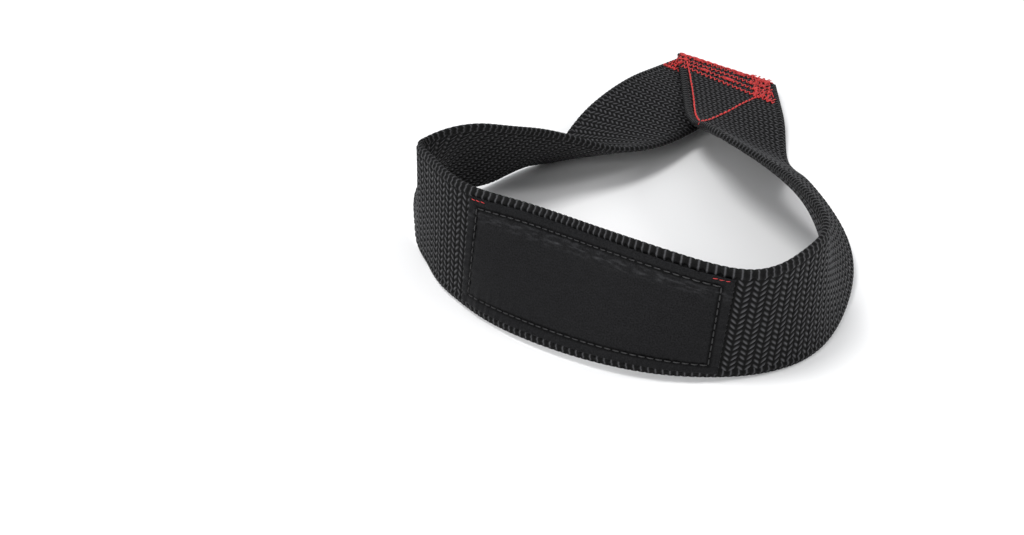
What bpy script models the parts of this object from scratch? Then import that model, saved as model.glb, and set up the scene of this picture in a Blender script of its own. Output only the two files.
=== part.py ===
import math

import bpy
from mathutils import Vector

mm = 0.001

# Webbing: one length, bent along its centre line and lapped at the sewn end
webbing_width = 38 * mm
webbing_thickness = 2 * mm
edge_round = 0.5 * mm
lap_gap = 0.3 * mm

# Sewn end: both ends of the webbing lie in one plane and are cut off along one line across it
cut_middle = Vector((82.4, 155.6, 7.8)) * mm
end_heading = math.radians(-107.2)
end_rise = math.radians(3.5)
end_roll = math.radians(12.5)
end_spread = math.radians(15.7)
flat_length = 45 * mm
flat_points = 4

# Way of the centre line from the top end to the bottom end, as control points of a smooth curve in mm.
# Lean is how far the webbing tips from upright towards the inside of the loop, in degrees.
way_columns = ("x", "y", "z", "lean")
way = (
    (78.6, 84.2, 7.4, 66),
    (81.1, 67.9, 11.8, 60),
    (81.7, 46.2, 19.1, 59),
    (95.6, 8.3, 18.2, 45),
    (93.7, -27.2, 19.6, 22),
    (90.4, -52.4, 19.9, 0),
    (79.8, -67.2, 20.1, -4),
    (64.5, -77, 18.8, -20),
    (41.5, -73.5, 21.9, 2),
    (20, -57.3, 20.5, 17),
    (2.5, -39.7, 19.2, 23),
    (-12.6, -27.9, 19.9, 2),
    (-21.2, -14, 20.1, 3),
    (-26, 1, 20.3, 0),
    (-30.9, 14.2, 19, -4),
    (-21.8, 33.6, 26.9, 55),
    (-3.2, 47.3, 15.5, 35),
    (14.4, 64.5, 12, 65),
    (27.5, 73.9, 5.5, 66),
    (40.6, 94.2, 9.5, 96),
)

# Label: a thin woven patch on the outer face, measured along the webbing from the middle of the top cut
label_length = 88 * mm
label_height = 33.5 * mm
label_thickness = 0.6 * mm
label_middle = 295.4 * mm

# Fineness of the flat pieces before they are bent
step_along = 2.4 * mm
steps_across = 4
square_after = 20 * mm


def clear_scene():
    for item in list(bpy.data.objects):
        bpy.data.objects.remove(item)


def make_collection(name):
    collection = bpy.data.collections.new(name)
    bpy.context.scene.collection.children.link(collection)
    return collection


def make_material(name, colour, roughness):
    material = bpy.data.materials.new(name)
    material.use_nodes = True
    shader = material.node_tree.nodes["Principled BSDF"]
    shader.inputs["Base Color"].default_value = (*colour, 1)
    shader.inputs["Roughness"].default_value = roughness
    shader.inputs["Metallic"].default_value = 0
    return material


def sewn_plane():
    """Directions of the sewn end: into the loop, along the cut, and out of its top face."""
    level = Vector((math.cos(end_heading), math.sin(end_heading), 0))
    into = level * math.cos(end_rise) + Vector((0, 0, math.sin(end_rise)))
    side = into.cross(Vector((0, 0, 1))).normalized()
    face = side.cross(into) * math.cos(end_roll) - side * math.sin(end_roll)
    return into, into.cross(face), face


def lean_of(travel, inner):
    """Lean of webbing that runs along travel with its inner edge towards inner."""
    upright = (Vector((0, 0, 1)) - travel * travel.z).normalized()
    inwards = travel.cross(upright)
    return math.atan2(inner.dot(inwards), inner.dot(upright))


def flat_end(middle, away, inner, travel):
    """Control points of one flat end, from its cut outwards, with its lean."""
    lean = lean_of(travel, inner)
    spacing = flat_length / (flat_points - 1)
    return [(middle + away * spacing * step, lean) for step in range(flat_points)]


def control_points():
    """All the control points of the centre line, each with its lean."""
    into, along_cut, face = sewn_plane()
    turn, square = math.sin(end_spread), math.cos(end_spread)
    top_away = into * square - along_cut * turn
    top_inner = along_cut * square + into * turn
    bottom_away = into * square + along_cut * turn
    bottom_inner = into * turn - along_cut * square
    below = cut_middle - face * (webbing_thickness + lap_gap)
    top = flat_end(cut_middle, top_away, top_inner, top_away)
    bottom = flat_end(below, bottom_away, bottom_inner, -bottom_away)
    loop = []
    for row in way:
        place = dict(zip(way_columns, row))
        point = Vector((place["x"], place["y"], place["z"])) * mm
        loop.append((point, math.radians(place["lean"])))
    return top + loop + bottom[::-1]


def make_guide(collection):
    """Centre line that the flat pieces are bent along. A tilt of zero lies flat, outer face up."""
    curve = bpy.data.curves.new("centre_line", "CURVE")
    curve.dimensions = "3D"
    curve.twist_mode = "Z_UP"
    curve.resolution_u = 24
    points = control_points()
    spline = curve.splines.new("NURBS")
    spline.points.add(len(points) - 1)
    for point, (place, lean) in zip(spline.points, points):
        point.co = (*place, 1)
        point.tilt = lean - math.radians(90)
    spline.order_u = 4
    spline.use_endpoint_u = True
    guide = bpy.data.objects.new("centre_line", curve)
    guide.hide_render = True
    guide.display_type = "WIRE"
    collection.objects.link(guide)
    return guide


def flat_piece(name, start, length, width, height, collection):
    """Flat grid from start along X, with Y across it towards the outer edge."""
    bpy.ops.mesh.primitive_grid_add(
        x_subdivisions=round(length / step_along), y_subdivisions=steps_across, size=1)
    piece = bpy.context.object
    piece.name = name
    piece.data.name = name
    for vertex in piece.data.vertices:
        vertex.co.x = start + (vertex.co.x + 0.5) * length
        vertex.co.y *= width
        vertex.co.z = height
    for home in list(piece.users_collection):
        home.objects.unlink(piece)
    collection.objects.link(piece)
    return piece


def cut_ends(piece, length):
    """Slant both ends to the line of the cut. The slant dies out a little way in."""
    slope = math.tan(end_spread)
    for vertex in piece.data.vertices:
        from_start = max(0, 1 - vertex.co.x / square_after)
        from_end = max(0, 1 - (length - vertex.co.x) / square_after)
        vertex.co.x += vertex.co.y * slope * (from_start - from_end)


def bend(piece, thickness, rounding, guide):
    """Give the flat piece its thickness and rounded edges, and bend it along the guide."""
    wall = piece.modifiers.new("thickness", "SOLIDIFY")
    wall.thickness = thickness
    wall.offset = 0
    edges = piece.modifiers.new("rounded_edges", "BEVEL")
    edges.width = rounding
    edges.segments = 1
    edges.limit_method = "ANGLE"
    edges.angle_limit = math.radians(40)
    along = piece.modifiers.new("along_centre_line", "CURVE")
    along.object = guide
    along.deform_axis = "POS_X"
    piece.data.shade_smooth()
    piece.data.set_sharp_from_angle(angle=math.radians(40))


def make_webbing(guide, collection):
    length = guide.data.splines[0].calc_length()
    piece = flat_piece("webbing", 0, length, webbing_width, 0, collection)
    cut_ends(piece, length)
    bend(piece, webbing_thickness, edge_round, guide)
    piece.data.materials.append(make_material("black_nylon", (0.016, 0.016, 0.018), 0.62))
    return piece


def make_label(guide, collection):
    height = webbing_thickness / 2 + lap_gap + label_thickness / 2
    start = label_middle - label_length / 2
    piece = flat_piece("label", start, label_length, label_height, height, collection)
    bend(piece, label_thickness, label_thickness / 4, guide)
    piece.data.materials.append(make_material("black_satin", (0.02, 0.02, 0.024), 0.45))
    return piece


def stand_on_floor(frame, pieces):
    """Move the frame so that the pieces stand on z = 0, centred over the origin."""
    depsgraph = bpy.context.evaluated_depsgraph_get()
    corners = []
    for piece in pieces:
        shape = piece.evaluated_get(depsgraph)
        corners += [shape.matrix_world @ Vector(corner) for corner in shape.bound_box]
    low = Vector([min(corner[axis] for corner in corners) for axis in range(3)])
    high = Vector([max(corner[axis] for corner in corners) for axis in range(3)])
    frame.location = (-(low.x + high.x) / 2, -(low.y + high.y) / 2, -low.z)


def main():
    clear_scene()
    strap = make_collection("weightlifting_strap")
    guides = make_collection("guides")
    frame = bpy.data.objects.new("strap_frame", None)
    strap.objects.link(frame)
    guide = make_guide(guides)
    pieces = [make_webbing(guide, strap), make_label(guide, strap)]
    for item in (guide, *pieces):
        item.parent = frame
    stand_on_floor(frame, pieces)


main()
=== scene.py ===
import math
import random

import bpy
from mathutils import Matrix, Vector


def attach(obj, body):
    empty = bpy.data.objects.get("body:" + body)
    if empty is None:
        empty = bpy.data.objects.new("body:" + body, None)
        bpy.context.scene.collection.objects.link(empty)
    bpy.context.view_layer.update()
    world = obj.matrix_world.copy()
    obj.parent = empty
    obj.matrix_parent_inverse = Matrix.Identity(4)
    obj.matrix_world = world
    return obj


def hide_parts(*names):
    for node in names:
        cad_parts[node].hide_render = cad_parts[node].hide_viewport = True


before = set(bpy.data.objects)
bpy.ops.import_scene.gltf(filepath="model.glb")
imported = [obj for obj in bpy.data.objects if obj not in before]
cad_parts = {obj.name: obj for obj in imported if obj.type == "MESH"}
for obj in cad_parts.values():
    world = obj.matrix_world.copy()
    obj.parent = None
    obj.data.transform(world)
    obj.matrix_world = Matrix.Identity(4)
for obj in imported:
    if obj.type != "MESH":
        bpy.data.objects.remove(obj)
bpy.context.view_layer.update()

mm = 0.001


# Camera, light and floor

studio = {
    "cameraPlace": (-0.03706, -0.5787, 0.26517),
    "cameraPitch": 63.77,          # degrees up from straight down
    "lens": 67.33,
    "world": (0.97, 0.98, 1.0),
    "worldStrength": 0.68,
    "floorSize": 30,
    "floorColour": (0.9, 0.9, 0.9),
}
softboxes = (
    # name, place, aimed at, size, power
    ("key_softbox", (-0.35, -0.35, 1.0), (0, 0, 0.02), 0.35, 6.5),
    ("side_softbox", (0.85, -0.25, 0.75), (0, 0, 0.02), 0.3, 3.5),
    ("front_softbox", (-0.45, -1.0, 0.45), (0, 0, 0.02), 0.3, 5),
)


def startPiece():
    # operators act on all that is selected, and the CAD nodes come in selected
    bpy.ops.object.select_all(action="DESELECT")


def makeStudio():
    cameraData = bpy.data.cameras.new("photo_camera")
    cameraData.lens = studio["lens"]
    cameraData.sensor_width = 36
    cameraData.clip_start = 0.01
    camera = bpy.data.objects.new("photo_camera", cameraData)
    camera.location = studio["cameraPlace"]
    camera.rotation_euler = (math.radians(studio["cameraPitch"]), 0, 0)
    bpy.context.collection.objects.link(camera)
    bpy.context.scene.camera = camera
    bpy.context.scene.view_settings.view_transform = "Standard"

    world = bpy.data.worlds.new("studio_world")
    world.use_nodes = True
    background = world.node_tree.nodes["Background"]
    background.inputs["Color"].default_value = (*studio["world"], 1)
    background.inputs["Strength"].default_value = studio["worldStrength"]
    bpy.context.scene.world = world

    for name, place, aim, size, power in softboxes:
        lamp = bpy.data.lights.new(name, "AREA")
        lamp.shape = "SQUARE"
        lamp.size = size
        lamp.energy = power
        box = bpy.data.objects.new(name, lamp)
        box.location = place
        turn = (Vector(aim) - Vector(place)).to_track_quat("-Z", "Y")
        box.rotation_euler = turn.to_euler()
        bpy.context.collection.objects.link(box)


def makeFloor():
    startPiece()
    bpy.ops.mesh.primitive_plane_add(size=studio["floorSize"])
    floor = bpy.context.object
    floor.name = "floor"
    paper = Finish("studio_paper", studio["floorColour"], roughness=0.9)
    floor.data.materials.append(paper.material)


# Node trees

class Wire:
    # a socket that can be written in sums
    def __init__(self, finish, socket):
        self.finish = finish
        self.socket = socket

    def sum(self, operation, *values):
        inputs = dict(enumerate(values))
        return self.finish.node("ShaderNodeMath", {"operation": operation}, inputs)

    def __add__(self, other):
        return self.sum("ADD", self, other)

    def __radd__(self, other):
        return self.sum("ADD", other, self)

    def __sub__(self, other):
        return self.sum("SUBTRACT", self, other)

    def __rsub__(self, other):
        return self.sum("SUBTRACT", other, self)

    def __mul__(self, other):
        return self.sum("MULTIPLY", self, other)

    def __rmul__(self, other):
        return self.sum("MULTIPLY", other, self)

    def __pow__(self, other):
        return self.sum("POWER", self, other)

    def __abs__(self):
        return self.sum("ABSOLUTE", self)

    def part(self):
        return self.sum("FRACT", self)

    def over(self, other):
        return self.sum("GREATER_THAN", self, other)

    def atLeast(self, other):
        return self.sum("MAXIMUM", self, other)


class Finish:
    # a material with its Principled shader
    def __init__(self, name, colour, roughness, **constants):
        self.material = bpy.data.materials.new(name)
        self.material.use_nodes = True
        self.tree = self.material.node_tree
        self.shader = self.tree.nodes["Principled BSDF"]
        self.shader.inputs["Base Color"].default_value = (*colour, 1)
        self.shader.inputs["Roughness"].default_value = roughness
        for socket, value in constants.items():
            self.shader.inputs[socket.replace("_", " ")].default_value = value

    def node(self, kind, settings=None, inputs=None, output=0):
        made = self.tree.nodes.new(kind)
        for setting, value in (settings or {}).items():
            if setting == "stops":
                for stop, (place, shade) in zip(made.color_ramp.elements, value):
                    stop.position = place
                    stop.color = (*shade, 1)
            else:
                setattr(made, setting, value)
        for socket, value in (inputs or {}).items():
            if isinstance(value, Wire):
                self.tree.links.new(value.socket, made.inputs[socket])
            else:
                made.inputs[socket].default_value = value
        return Wire(self, made.outputs[output])

    def split(self, vector):
        apart = self.tree.nodes.new("ShaderNodeSeparateXYZ")
        self.tree.links.new(vector.socket, apart.inputs[0])
        return [Wire(self, output) for output in apart.outputs]

    def vector(self, x, y, z=0):
        return self.node("ShaderNodeCombineXYZ", None, {0: x, 1: y, 2: z})

    def ramp(self, value, *stops):
        return self.node("ShaderNodeValToRGB", {"stops": stops}, {0: value})

    def noise(self, place, scale, detail=2):
        inputs = {"Vector": place, "Scale": scale, "Detail": detail}
        return self.node("ShaderNodeTexNoise", None, inputs)

    def feed(self, socket, value):
        self.tree.links.new(value.socket, self.shader.inputs[socket])

    def bump(self, height, distance, strength=1):
        inputs = {"Height": height, "Distance": distance, "Strength": strength}
        self.feed("Normal", self.node("ShaderNodeBump", None, inputs))


# Guide: the way that the webbing takes. Flat pieces are made with X along it, Y across it
# towards the outer edge and Z out of the outer face, and are then bent along it

sewnEnd = {
    "cutMiddle": Vector((82.4, 155.6, 7.8)) * mm,
    "heading": math.radians(-107.2),
    "rise": math.radians(3.5),
    "roll": math.radians(12.5),
    "spread": math.radians(15.7),
    "flatLength": 45 * mm,
    "flatPoints": 4,
}
way = {
    "toFrame": Vector((-37.06, -40.48, -0.01)) * mm,
    "points": (
        # x, y, z in mm, and lean from upright towards the inside of the loop in degrees
        (78.6, 84.2, 7.4, 66), (81.1, 67.9, 11.8, 60), (81.7, 46.2, 19.1, 59),
        (95.6, 8.3, 18.2, 45), (93.7, -27.2, 19.6, 22), (90.4, -52.4, 19.9, 0),
        (79.8, -67.2, 20.1, -4), (64.5, -77, 18.8, -20), (41.5, -73.5, 21.9, 2),
        (20, -57.3, 20.5, 17), (2.5, -39.7, 19.2, 23), (-12.6, -27.9, 19.9, 2),
        (-21.2, -14, 20.1, 3), (-26, 1, 20.3, 0), (-30.9, 14.2, 19, -4),
        (-21.8, 33.6, 26.9, 55), (-3.2, 47.3, 15.5, 35), (14.4, 64.5, 12, 65),
        (27.5, 73.9, 5.5, 66), (40.6, 94.2, 9.5, 96),
    ),
}


def leanOf(travel, inner):
    upright = (Vector((0, 0, 1)) - travel * travel.z).normalized()
    inwards = travel.cross(upright)
    return math.atan2(inner.dot(inwards), inner.dot(upright))


def flatEnd(middle, away, inner, travel):
    spacing = sewnEnd["flatLength"] / (sewnEnd["flatPoints"] - 1)
    lean = leanOf(travel, inner)
    return [(middle + away * spacing * step, lean) for step in range(sewnEnd["flatPoints"])]


def makeGuide():
    heading, rise, roll = sewnEnd["heading"], sewnEnd["rise"], sewnEnd["roll"]
    level = Vector((math.cos(heading), math.sin(heading), 0))
    into = level * math.cos(rise) + Vector((0, 0, math.sin(rise)))
    side = into.cross(Vector((0, 0, 1))).normalized()
    face = side.cross(into) * math.cos(roll) - side * math.sin(roll)
    alongCut = into.cross(face)
    turn, square = math.sin(sewnEnd["spread"]), math.cos(sewnEnd["spread"])
    topAway = into * square - alongCut * turn
    bottomAway = into * square + alongCut * turn
    lapped = webbing["thickness"] + webbing["lapGap"]
    highlightBand = sewnEnd["cutMiddle"] - face * lapped
    points = flatEnd(sewnEnd["cutMiddle"], topAway, alongCut * square + into * turn, topAway)
    points += [(Vector(row[:3]) * mm, math.radians(row[3])) for row in way["points"]]
    points += flatEnd(highlightBand, bottomAway, into * turn - alongCut * square, -bottomAway)[::-1]

    curve = bpy.data.curves.new("centre_line", "CURVE")
    curve.dimensions = "3D"
    curve.twist_mode = "Z_UP"
    curve.resolution_u = 24
    spline = curve.splines.new("NURBS")
    spline.points.add(len(points) - 1)
    for point, (place, lean) in zip(spline.points, points):
        point.co = (*(place + way["toFrame"]), 1)
        point.tilt = lean - math.radians(90)
    spline.order_u = 4
    spline.use_endpoint_u = True
    guide = bpy.data.objects.new("centre_line", curve)
    bpy.context.collection.objects.link(guide)
    return guide


def applyModifiers(piece):
    startPiece()
    bpy.context.view_layer.objects.active = piece
    piece.select_set(True)
    for modifier in list(piece.modifiers):
        bpy.ops.object.modifier_apply(modifier=modifier.name)


def bendAlong(piece):
    along = piece.modifiers.new("along_centre_line", "CURVE")
    along.object = guide
    along.deform_axis = "POS_X"
    applyModifiers(piece)


# Webbing

webbing = {
    "width": 38 * mm,
    "thickness": 2 * mm,
    "lapGap": 0.3 * mm,
    "columnPair": 4.4 * mm,        # two columns of yarn, which slant opposite ways
    "columnSteps": (0, 0.28, 0.72),
    "rows": 19,
    "rowSteps": (0, 0.36, 0.7),
    "rimWidth": 0.7 * mm,
    "rimSteps": 4,
    "slant": 1.9 * mm,
    "slantFade": 2.5 * mm,
    "yarnTop": 0.15 * mm,
    "slit": -0.34 * mm,
    "groove": -0.2 * mm,
    "pairGroove": -0.26 * mm,
    "rimBar": 0.24 * mm,
    "spareUnits": 2,
}


def webbingFinish():
    finish = Finish("black_nylon_webbing", (0.02, 0.02, 0.022), 0.5, Specular_IOR_Level=0.13)
    u, v, _ = finish.split(finish.node("ShaderNodeUVMap", {"uv_map": "weave"}))
    column = (u * 2).part()
    row = (v + 0.5).part()
    ridge = 1 - abs(column * 2 - 1) ** 3
    leaf = 1 - abs(row * 2 - 1.06) ** 1.6
    selvage = abs(v).over(webbing["rows"] / 2 - 1.1)
    bar = (1 - abs(column * 2 - 1)) ** 1.4
    height = (ridge * leaf * (1 - selvage) + bar * selvage).atLeast(0)
    strands = finish.noise(finish.vector(u * 3, v * 9), 1.3, 3)
    wear = finish.noise(finish.vector(u * 0.9, v * 0.7), 1, 2)
    # The base colour follows the weave's height: painted shade in the slits and grooves, and
    # painted highlight on the yarn tops and selvage bars. The strands noise varies the tone at
    # random.
    shade = height * 0.8 + strands * 0.35 - 0.12
    finish.feed("Base Color", finish.ramp(
        shade, (0.5, (0.0008, 0.0008, 0.0009)), (1.0, (0.085, 0.085, 0.09))))
    finish.feed("Roughness", 0.62 - height * 0.18 + wear * 0.1)
    finish.bump(height + strands * 0.3, 0.25 * mm, 0.8)
    return finish.material


def makeWeaveUnit():
    # one pair of columns, rolled round the webbing's section
    faceSteps = 3 * webbing["rows"]
    rimSteps = webbing["rimSteps"]
    around = 2 * (faceSteps + rimSteps)
    startPiece()
    bpy.ops.mesh.primitive_grid_add(x_subdivisions=6, y_subdivisions=around, size=1)
    unit = bpy.context.object
    mesh = unit.data
    uvMap = mesh.uv_layers.active
    uvMap.name = "weave"
    faceWidth = webbing["width"] - 2 * webbing["rimWidth"]
    rowWidth = faceWidth / webbing["rows"]
    halfThickness = webbing["thickness"] / 2
    rowAt = {}
    for vertex in mesh.vertices:
        step = round((vertex.co.x + 0.5) * 6)
        turn = round((vertex.co.y + 0.5) * around)
        columnStep = webbing["columnSteps"][step % 3]
        along = (step // 3 + columnStep) / 2
        lap, turn = divmod(turn, faceSteps + rimSteps)
        facing = -1 if lap % 2 else 1
        zigzag = 1 - abs(2 * along - 1)
        if step % 3:
            deep = 0
        else:
            deep = webbing["groove"] if step == 3 else webbing["pairGroove"]
        if turn <= faceSteps:
            row = turn // 3 + webbing["rowSteps"][turn % 3]
            y = row * rowWidth - faceWidth / 2
            fade = min(1, (faceWidth / 2 - abs(y)) / webbing["slantFade"])
            y += webbing["slant"] * (zigzag - 0.5) * fade
            relief = webbing["yarnTop"] if turn % 3 else webbing["slit"]
            if step % 3 == 0:
                relief = deep if turn % 3 else min(deep, webbing["slit"])
            place = (y, halfThickness + relief)
            rowPlace = row - webbing["rows"] / 2
        else:
            angle = math.pi * (turn - faceSteps) / rimSteps
            out = webbing["rimWidth"] * math.sin(angle)
            out += webbing["rimBar"] * (0 if step % 3 == 0 else 1) * math.sin(angle)
            place = (faceWidth / 2 + out, halfThickness * math.cos(angle))
            rowPlace = webbing["rows"] / 2 + 0.8 * math.sin(angle)
        rowAt[vertex.index] = (along, facing * rowPlace)
        vertex.co = (along * webbing["columnPair"], facing * place[0], facing * place[1])
    for loop in mesh.loops:
        uvMap.data[loop.index].uv = rowAt[loop.vertex_index]
    bpy.ops.object.mode_set(mode="EDIT")
    bpy.ops.mesh.select_all(action="SELECT")
    bpy.ops.mesh.remove_doubles(threshold=0.01 * mm)
    bpy.ops.object.mode_set(mode="OBJECT")
    return unit


def cutAcross(piece, place, slope, keepEnd):
    # cut along one slanted line across the webbing, and close the cut
    startPiece()
    piece.select_set(True)
    bpy.context.view_layer.objects.active = piece
    bpy.ops.object.mode_set(mode="EDIT")
    bpy.ops.mesh.select_all(action="SELECT")
    bpy.ops.mesh.bisect(
        plane_co=(place, 0, 0), plane_no=(1, -slope, 0), use_fill=True,
        clear_inner=keepEnd, clear_outer=not keepEnd, threshold=1e-6)
    bpy.ops.object.mode_set(mode="OBJECT")


def makeWebbing():
    piece = makeWeaveUnit()
    piece.name = "webbing_weave"
    piece.data.name = "webbing_weave"
    pair = webbing["columnPair"]
    spare = webbing["spareUnits"]
    units = math.ceil(guideLength / pair) + 2 * spare
    rows = piece.modifiers.new("columns", "ARRAY")
    rows.count = units
    rows.use_relative_offset = False
    rows.use_constant_offset = True
    rows.constant_offset_displace = (pair, 0, 0)
    rows.use_merge_vertices = True
    rows.merge_threshold = 0.01 * mm
    rows.offset_u = 1
    applyModifiers(piece)
    piece.data.transform(Matrix.Translation((-spare * pair, 0, 0)))
    slope = math.tan(sewnEnd["spread"])
    cutAcross(piece, 0, slope, True)
    cutAcross(piece, guideLength, -slope, False)
    bendAlong(piece)
    piece.data.shade_smooth()
    piece.data.materials.append(webbingFinish())
    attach(piece, "root")
    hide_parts("webbing")
    return piece


# Sewn end: places are given as u along the cut, towards the corner that the under layer
# runs out at, and w from the cut into the loop

stitching = {
    "seed": 7,
    "thickness": 0.41 * mm,
    "thicknessRange": (0.9, 1.1),
    "above": 0.28 * mm,
    "jitter": 0.25 * mm,
    # depth of each row from the cut, at the under layer's corner and at the other one
    "zigzagRows": (
        (2.6 * mm, 3.4 * mm), (6.2 * mm, 9.2 * mm), (9.8 * mm, 15.2 * mm),
        (13.4 * mm, 21.5 * mm)),
    "zigzagHalf": 1.25 * mm,
    "zigzagStep": 0.9 * mm,
    "inset": 2.6 * mm,
    "lean": 0.8 * mm,
    "clump": (0.8 * mm, 9 * mm),
    "clumpDepth": (-3.5 * mm, 1 * mm),
    "clumpDensity": 2.4,
    "clumpLift": 0.25 * mm,
    "cornerStitches": 11,
    "corner": (-1 * mm, 4 * mm),
    "cornerLift": 0.2 * mm,
    "patches": 5,
    "patchReach": 0.6,
    "patchStitches": 5,
    "patchStep": 0.5 * mm,
    "patchLean": 0.4 * mm,
    "edgeMargin": 1 * mm,
    "edgeRow": 0.7 * mm,
    "edgeStitch": 2.6 * mm,
}
legs = {
    "thicker": 1.6,
    "lift": 0.05 * mm,
    "jitter": 0.1 * mm,
    # the bows make the legs look straight from the photo's camera
    "leftBow": 1.1 * mm,
    "leftInset": 2.3 * mm,
    "leftStart": 1.5 * mm,
    "leftEnd": 76 * mm,
    "leftStitch": 3.2 * mm,
    "leftShare": 0.7,
    "rightBow": 6 * mm,
    "rightStart": Vector((-17.5, 18.5)) * mm,
    "rightEnd": Vector((-5, 76)) * mm,
    "rightStitches": 18,
    "rightShare": 0.66,
}
knot = {
    "stitches": 4,
    "u": (-6.2 * mm, -5.4 * mm),
    "w": (88.5 * mm, 90 * mm),
    "reach": (0.3 * mm, 1 * mm),
    "jitter": 0.2 * mm,
}
cornerThread = {
    # red thread that shows at the label's upper corners
    "stitches": 3,
    "thickness": 0.2 * mm,
    "length": 1.2 * mm,
    "step": 1.6 * mm,
    "fromSide": 1 * mm,
    "fromTop": 0.6 * mm,
    "slant": 0.2 * mm,
    "lift": 0.05 * mm,
}


def threadFinish(name, dark, light, roughness):
    finish = Finish(name, light, roughness)
    u, v, _ = finish.split(finish.node("ShaderNodeUVMap", {"uv_map": "UVMap"}))
    ply = (u * 2 + v * 3).part()
    twist = 1 - abs(ply * 2 - 1) ** 2
    place = finish.node("ShaderNodeTexCoord", output="Object")
    patch = finish.noise(place, 900, 2)
    # The colour is darker in the grooves between the plies, where twist is low: painted shade.
    # The patch noise varies the tone at random.
    finish.feed("Base Color", finish.ramp(twist * 0.6 + patch * 0.5, (0.15, dark), (0.8, light)))
    finish.bump(twist, 0.1 * mm, 0.7)
    return finish.material


def makeStitch():
    # one stitch along X of unit length and thickness, lifted in its middle
    startPiece()
    bpy.ops.mesh.primitive_uv_sphere_add(segments=8, ring_count=7, radius=0.5)
    stitch = bpy.context.object
    for vertex in stitch.data.vertices:
        x, y, z = vertex.co.z, vertex.co.y, -vertex.co.x
        width = 2 * math.hypot(y, z)
        fuller = 1 if width < 1e-6 else width ** 0.45 / width
        vertex.co = (x, y * fuller, z * fuller + 0.5 * (1 - 4 * x * x) - 0.3)
    stitch.data.shade_smooth()
    return stitch


def copyStitch(stitch, start, end, thickness):
    along = end - start
    across = Vector((0, 0, 1)).cross(along).normalized() * thickness
    up = along.cross(across).normalized() * thickness
    middle = (start + end) / 2
    columns = (along + along.normalized() * thickness * 0.4, across, up, middle)
    matrix = Matrix([[column[row] for column in columns] for row in range(3)] + [(0, 0, 0, 1)])
    copy = stitch.copy()
    copy.data = stitch.data.copy()
    copy.data.transform(matrix)
    bpy.context.collection.objects.link(copy)
    return copy


def joinCopies(copies, name):
    startPiece()
    for copy in copies:
        copy.select_set(True)
    bpy.context.view_layer.objects.active = copies[0]
    bpy.ops.object.join()
    piece = bpy.context.object
    piece.name = name
    piece.data.name = name
    return piece


def onTopLayer(u, w, lift):
    # a place on the sewn end, in the flat webbing's own frame, on whichever layer is there
    turn, square = math.sin(sewnEnd["spread"]), math.cos(sewnEnd["spread"])
    s = w * square - u * turn
    y = -(u * square + w * turn)
    onTop = min(1, max(0, (y + webbing["width"] / 2 + 0.3 * mm) / (0.6 * mm)))
    drop = (1 - onTop) * (webbing["thickness"] + webbing["lapGap"])
    return Vector((s, y, webbing["thickness"] / 2 + lift - drop))


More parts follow.
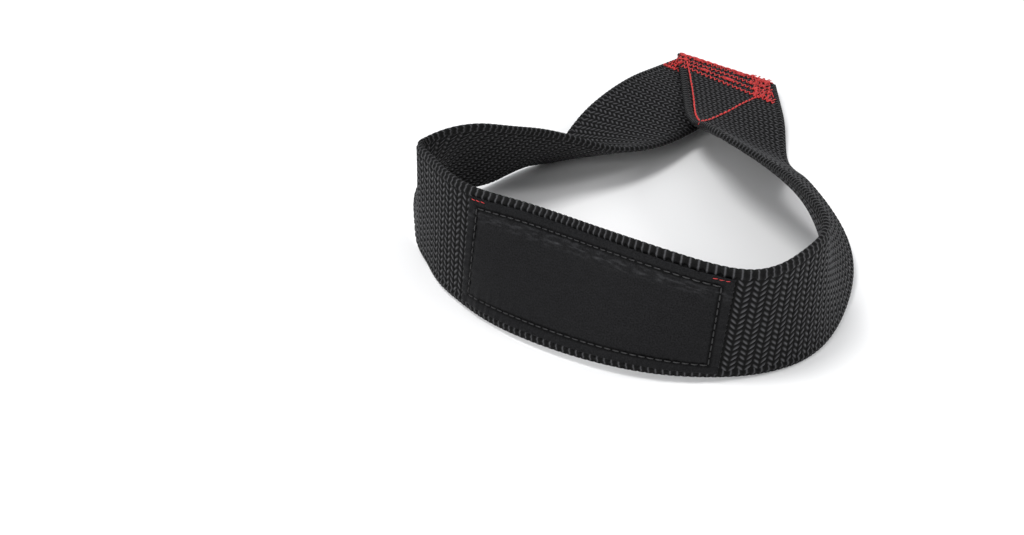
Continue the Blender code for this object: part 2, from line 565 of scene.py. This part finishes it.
class SewnThreads:
    # all the stitches of the sewn end, one copy for each, joined at the end
    def __init__(self):
        self.dice = random.Random(stitching["seed"])
        self.stitch = makeStitch()
        self.copies = []
        self.slope = math.tan(sewnEnd["spread"])
        self.halfCut = webbing["width"] / 2 / math.cos(sewnEnd["spread"])

    def sew(self, first, second, lift=0, jitter=stitching["jitter"], thicker=1):
        ends = []
        for u, w in (first, second):
            shift = [self.dice.uniform(-jitter, jitter) for _ in range(2)]
            ends.append(onTopLayer(u + shift[0], w + shift[1], stitching["above"] + lift))
        thicker *= self.dice.uniform(*stitching["thicknessRange"])
        self.copies.append(copyStitch(self.stitch, *ends, stitching["thickness"] * thicker))

    def rowDepth(self, row, u):
        share = (self.halfCut - u) / (2 * self.halfCut)
        return row[0] + (row[1] - row[0]) * share

    def sewAcross(self, u, w, lean, lift):
        half = stitching["zigzagHalf"]
        self.sew((u - lean, w - half), (u + lean, w + half), lift)

    def anyLean(self):
        return self.dice.uniform(-stitching["lean"], stitching["lean"])

    def sewZigzag(self, row):
        half, step = stitching["zigzagHalf"], stitching["zigzagStep"]
        left = self.halfCut + row[0] * self.slope - stitching["inset"]
        right = -self.halfCut - row[1] * self.slope + stitching["inset"]
        for number in range(round((left - right) / step)):
            near = -half if number % 2 else half
            first, second = left - number * step, left - (number + 1) * step
            self.sew((first, self.rowDepth(row, first) + near),
                     (second, self.rowDepth(row, second) - near))
        for _ in range(round(stitching["clump"][1] / step * stitching["clumpDensity"])):
            u = right + self.dice.uniform(*stitching["clump"])
            lean = self.anyLean()
            w = self.rowDepth(row, u) + self.dice.uniform(*stitching["clumpDepth"])
            self.sewAcross(u, w, lean, stitching["clumpLift"])
        for _ in range(stitching["cornerStitches"]):
            u = left - self.dice.uniform(*stitching["corner"])
            self.sewAcross(u, self.rowDepth(row, u), self.anyLean(), stitching["cornerLift"])

    def sewPatches(self):
        reach = stitching["patchReach"]
        middles = [self.dice.uniform(-reach, reach) * self.halfCut
                   for _ in range(stitching["patches"])]
        count = stitching["patchStitches"]
        for u in middles:
            w = self.rowDepth(self.dice.choice(stitching["zigzagRows"]), u)
            for number in range(count):
                shift = (number - count // 2) * stitching["patchStep"]
                self.sewAcross(u + shift, w, stitching["patchLean"], stitching["cornerLift"])

    def sewCutEdge(self):
        # two straight rows close to the cut
        length, margin, w = (stitching[key] for key in ("edgeStitch", "edgeMargin", "edgeRow"))
        for number in range(round((2 * self.halfCut - 3 * margin) / length)):
            u = self.halfCut - margin - number * length
            self.sew((u, w), (u - length * 0.94, w + 0.3 * mm), 0.05 * mm)
            self.sew((u - margin, w + 0.9 * mm), (u - margin - length, w + 0.5 * mm))

    def sewLeg(self, onLeg, starts, ends):
        for start, end in zip(starts, ends):
            self.sew(onLeg(start), onLeg(end), legs["lift"], legs["jitter"], legs["thicker"])

    def sewLegs(self):
        inset = legs["leftInset"] / math.cos(sewnEnd["spread"])

        def onLeft(w):
            # beside the top layer's inner edge
            share = min(1, w / legs["leftEnd"])
            bow = legs["leftBow"] * 4 * share * (1 - share)
            return self.halfCut - w * self.slope - inset - bow, w

        def onRight(share):
            # over the under layer's hidden edge
            u, w = legs["rightStart"].lerp(legs["rightEnd"], share)
            return u, w - legs["rightBow"] * 4 * share * (1 - share)

        length = legs["leftStitch"]
        starts = [legs["leftStart"] + number * length
                  for number in range(round(legs["leftEnd"] / length))]
        self.sewLeg(onLeft, starts, [start + length * legs["leftShare"] for start in starts])
        count = legs["rightStitches"]
        self.sewLeg(onRight, [number / count for number in range(count)],
                    [(number + legs["rightShare"]) / count for number in range(count)])

    def sewKnot(self):
        for _ in range(knot["stitches"]):
            u, w = self.dice.uniform(*knot["u"]), self.dice.uniform(*knot["w"])
            end = (u + knot["reach"][0], w + knot["reach"][1])
            self.sew((u, w), end, 0, knot["jitter"])

    def sewLabelCorners(self):
        y = -label["height"] / 2 + cornerThread["fromTop"]
        z = label["raise"] + label["thickness"] / 2 + cornerThread["lift"]
        for side in (-1, 1):
            for number in range(cornerThread["stitches"]):
                inwards = cornerThread["fromSide"] + number * cornerThread["step"]
                x = label["middle"] + side * (label["length"] / 2 - inwards)
                start = Vector((x, y, z))
                end = Vector((x - side * cornerThread["length"], y + cornerThread["slant"], z))
                self.copies.append(
                    copyStitch(self.stitch, start, end, cornerThread["thickness"]))


def makeSewnThreads():
    threads = SewnThreads()
    for row in stitching["zigzagRows"]:
        threads.sewZigzag(row)
    threads.sewPatches()
    threads.sewCutEdge()
    threads.sewLegs()
    threads.sewKnot()
    threads.sewLabelCorners()
    bpy.data.objects.remove(threads.stitch)
    piece = joinCopies(threads.copies, "sewn_threads")
    bendAlong(piece)
    piece.data.materials.append(
        threadFinish("red_thread", (0.12, 0.004, 0.005), (0.66, 0.03, 0.028), 0.5))
    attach(piece, "root")
    return piece


# Melted rims of the two cut ends

rims = {
    "radius": 1.08 * mm,
    "sides": 12,
    "steps": 60,
    "lump": 0.16 * mm,
}


def rimFinish():
    finish = Finish("melted_nylon", (0.012, 0.012, 0.013), 0.28)
    place = finish.node("ShaderNodeTexCoord", output="Object")
    grain = finish.noise(place, 700, 3)
    finish.feed("Roughness", 0.15 + grain * 0.4)
    finish.bump(grain, 0.3 * mm, 0.6)
    return finish.material


def makeRims():
    pieces = []
    slope = math.tan(sewnEnd["spread"])
    for number, (start, lean) in enumerate(((0, slope), (guideLength, -slope))):
        startPiece()
        bpy.ops.mesh.primitive_grid_add(
            x_subdivisions=rims["sides"], y_subdivisions=rims["steps"], size=1)
        rim = bpy.context.object
        for vertex in rim.data.vertices:
            angle = vertex.co.x * 2 * math.pi
            across = vertex.co.y * 2
            end = max(0, 1 - abs(across) ** 12) ** 0.5
            y = across * (webbing["width"] / 2 + 0.25 * mm)
            lump = math.sin(y * 2600 + 2 * math.sin(angle) + number)
            lump *= math.sin(y * 1130 + 3 * angle)
            radius = (rims["radius"] + rims["lump"] * lump) * end
            out = radius * math.cos(angle) * 0.75
            vertex.co = (start + y * lean + out, y, radius * math.sin(angle))
        bpy.ops.object.mode_set(mode="EDIT")
        bpy.ops.mesh.select_all(action="SELECT")
        bpy.ops.mesh.remove_doubles(threshold=0.002 * mm)
        bpy.ops.mesh.normals_make_consistent(inside=False)
        bpy.ops.object.mode_set(mode="OBJECT")
        pieces.append(rim)
    rim = joinCopies(pieces, "melted_rims")
    bendAlong(rim)
    rim.data.shade_smooth()
    rim.data.materials.append(rimFinish())
    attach(rim, "root")
    return rim


# Label

label = {
    "length": 88 * mm,
    "height": 33.5 * mm,
    "thickness": 0.5 * mm,
    "middle": 295.4 * mm,
    "raise": 1.62 * mm,
    "step": 0.75 * mm,
    "paintedHighlightFromTop": 5.4,         # middle of the painted highlight band, in mm from the top, as the finish has it
    "seamInset": 3 * mm,
    "seamDepth": 0.22 * mm,
    "seamWidth": 0.8 * mm,
    "pucker": 0.3 * mm,
    "stitch": 2.6 * mm,
    "stitchThickness": 0.4 * mm,
}


def labelFinish():
    finish = Finish("black_satin_label", (0.01, 0.01, 0.011), 0.4, Specular_IOR_Level=0.06)
    u, v, _ = finish.split(finish.node("ShaderNodeUVMap", {"uv_map": "UVMap"}))
    length, height = label["length"] / mm, label["height"] / mm
    along, across = u * length, v * height
    threads = abs((along * 3.2).part() * 2 - 1)
    picks = abs((across * 2.6 + (along * 1.6).part()).part() * 2 - 1)
    cloud = finish.noise(finish.vector(along * 0.25, across * 0.4), 1, 3)
    # painted highlights, as on crumpled cloth, in a band below the upper seam
    paintedHighlight = finish.noise(finish.vector(along * 0.3, across * 1.1), 1, 5)
    highlightBand = (1 - abs(across - label["paintedHighlightFromTop"]) * 0.35).atLeast(0)
    paintedHighlight = ((paintedHighlight - 0.47) * 4).atLeast(0) * highlightBand
    # painted shade along the seam groove, where the cloth is pulled down
    fromSide = length / 2 - abs(along - length / 2)
    fromRim = height / 2 - abs(across - height / 2)
    fromEdge = 0 - (0 - fromSide).atLeast(0 - fromRim)
    seam = (1 - abs(fromEdge - label["seamInset"] / mm)).atLeast(0)
    speckle = finish.noise(finish.vector(along * 2.2, across * 2.2), 1, 2)
    shade = threads * 0.05 + picks * 0.06 + cloud * 0.06 + (speckle - 0.4) * 0.3
    # adds the painted highlight below the upper seam and takes off the painted shade along the
    # seam groove
    shade = shade + paintedHighlight * 0.32 - seam * 0.2
    finish.feed("Base Color", finish.ramp(
        shade, (0.03, (0.001, 0.001, 0.0012)), (1.0, (0.07, 0.07, 0.075))))
    finish.feed("Roughness", 0.34 + cloud * 0.2)
    finish.bump(threads + picks, 0.06 * mm, 0.5)
    return finish.material


def labelRelief(x, y):
    # x and y from the label's middle. The seam pulls the cloth down and puckers it
    edge = min(label["length"] / 2 - abs(x), label["height"] / 2 - abs(y))
    seam = (edge - label["seamInset"]) / label["seamWidth"]
    groove = -label["seamDepth"] * math.exp(-seam * seam)
    outer = math.exp(-(edge / (2.2 * mm)) ** 2)
    beside = math.exp(-((edge - label["seamInset"]) / (3.5 * mm)) ** 2)
    along = x if label["height"] / 2 - abs(y) < label["length"] / 2 - abs(x) else y
    wave = math.sin(along * 1900 + 1.5 * math.sin(along * 410)) * math.sin(along * 700 + 1)
    pucker = label["pucker"] * wave * max(outer, 0.6 * beside)
    swell = 0.12 * mm * math.sin(x * 95 + 0.6) * math.cos(y * 140 + x * 60)
    return groove + pucker + swell


def makeLabel():
    startPiece()
    bpy.ops.mesh.primitive_grid_add(
        x_subdivisions=round(label["length"] / label["step"]),
        y_subdivisions=round(label["height"] / label["step"]), size=1)
    piece = bpy.context.object
    piece.name = "label_cloth"
    piece.data.name = "label_cloth"
    for vertex in piece.data.vertices:
        x, y = vertex.co.x * label["length"], vertex.co.y * label["height"]
        vertex.co = (label["middle"] + x, y, label["raise"] + labelRelief(x, y))
    wall = piece.modifiers.new("thickness", "SOLIDIFY")
    wall.thickness = label["thickness"]
    wall.offset = 0
    rounding = piece.modifiers.new("rounded_edges", "BEVEL")
    rounding.width = label["thickness"] * 0.35
    rounding.segments = 2
    rounding.limit_method = "ANGLE"
    rounding.angle_limit = math.radians(50)
    bendAlong(piece)
    piece.data.shade_smooth()
    piece.data.materials.append(labelFinish())
    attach(piece, "root")
    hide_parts("label")
    return piece


def makeLabelThreads():
    stitch = makeStitch()
    copies = []
    pitch = label["stitch"]
    height = label["raise"] + label["thickness"] / 2 - label["seamDepth"] + 0.1 * mm
    halfLength = label["length"] / 2 - label["seamInset"]
    halfHeight = label["height"] / 2 - label["seamInset"]
    corners = [(-halfLength, -halfHeight), (halfLength, -halfHeight),
               (halfLength, halfHeight), (-halfLength, halfHeight)]
    for first, second in zip(corners, corners[1:] + corners[:1]):
        start = Vector((label["middle"] + first[0], first[1], height))
        end = Vector((label["middle"] + second[0], second[1], height))
        count = round((end - start).length / pitch)
        for number in range(count):
            copies.append(copyStitch(
                stitch, start.lerp(end, (number + 0.1) / count),
                start.lerp(end, (number + 0.85) / count), label["stitchThickness"]))
    bpy.data.objects.remove(stitch)
    piece = joinCopies(copies, "label_threads")
    bendAlong(piece)
    piece.data.materials.append(
        threadFinish("black_thread", (0.001, 0.001, 0.001), (0.007, 0.007, 0.008), 0.5))
    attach(piece, "root")
    return piece


makeStudio()
makeFloor()
print("studio ready")
guide = makeGuide()
guideLength = guide.data.splines[0].calc_length()
webbingPiece = makeWebbing()
print("webbing ready")
threadsPiece = makeSewnThreads()
rimsPiece = makeRims()
print("sewn end ready")
labelPiece = makeLabel()
labelThreads = makeLabelThreads()
print("label ready")
bpy.data.objects.remove(guide)
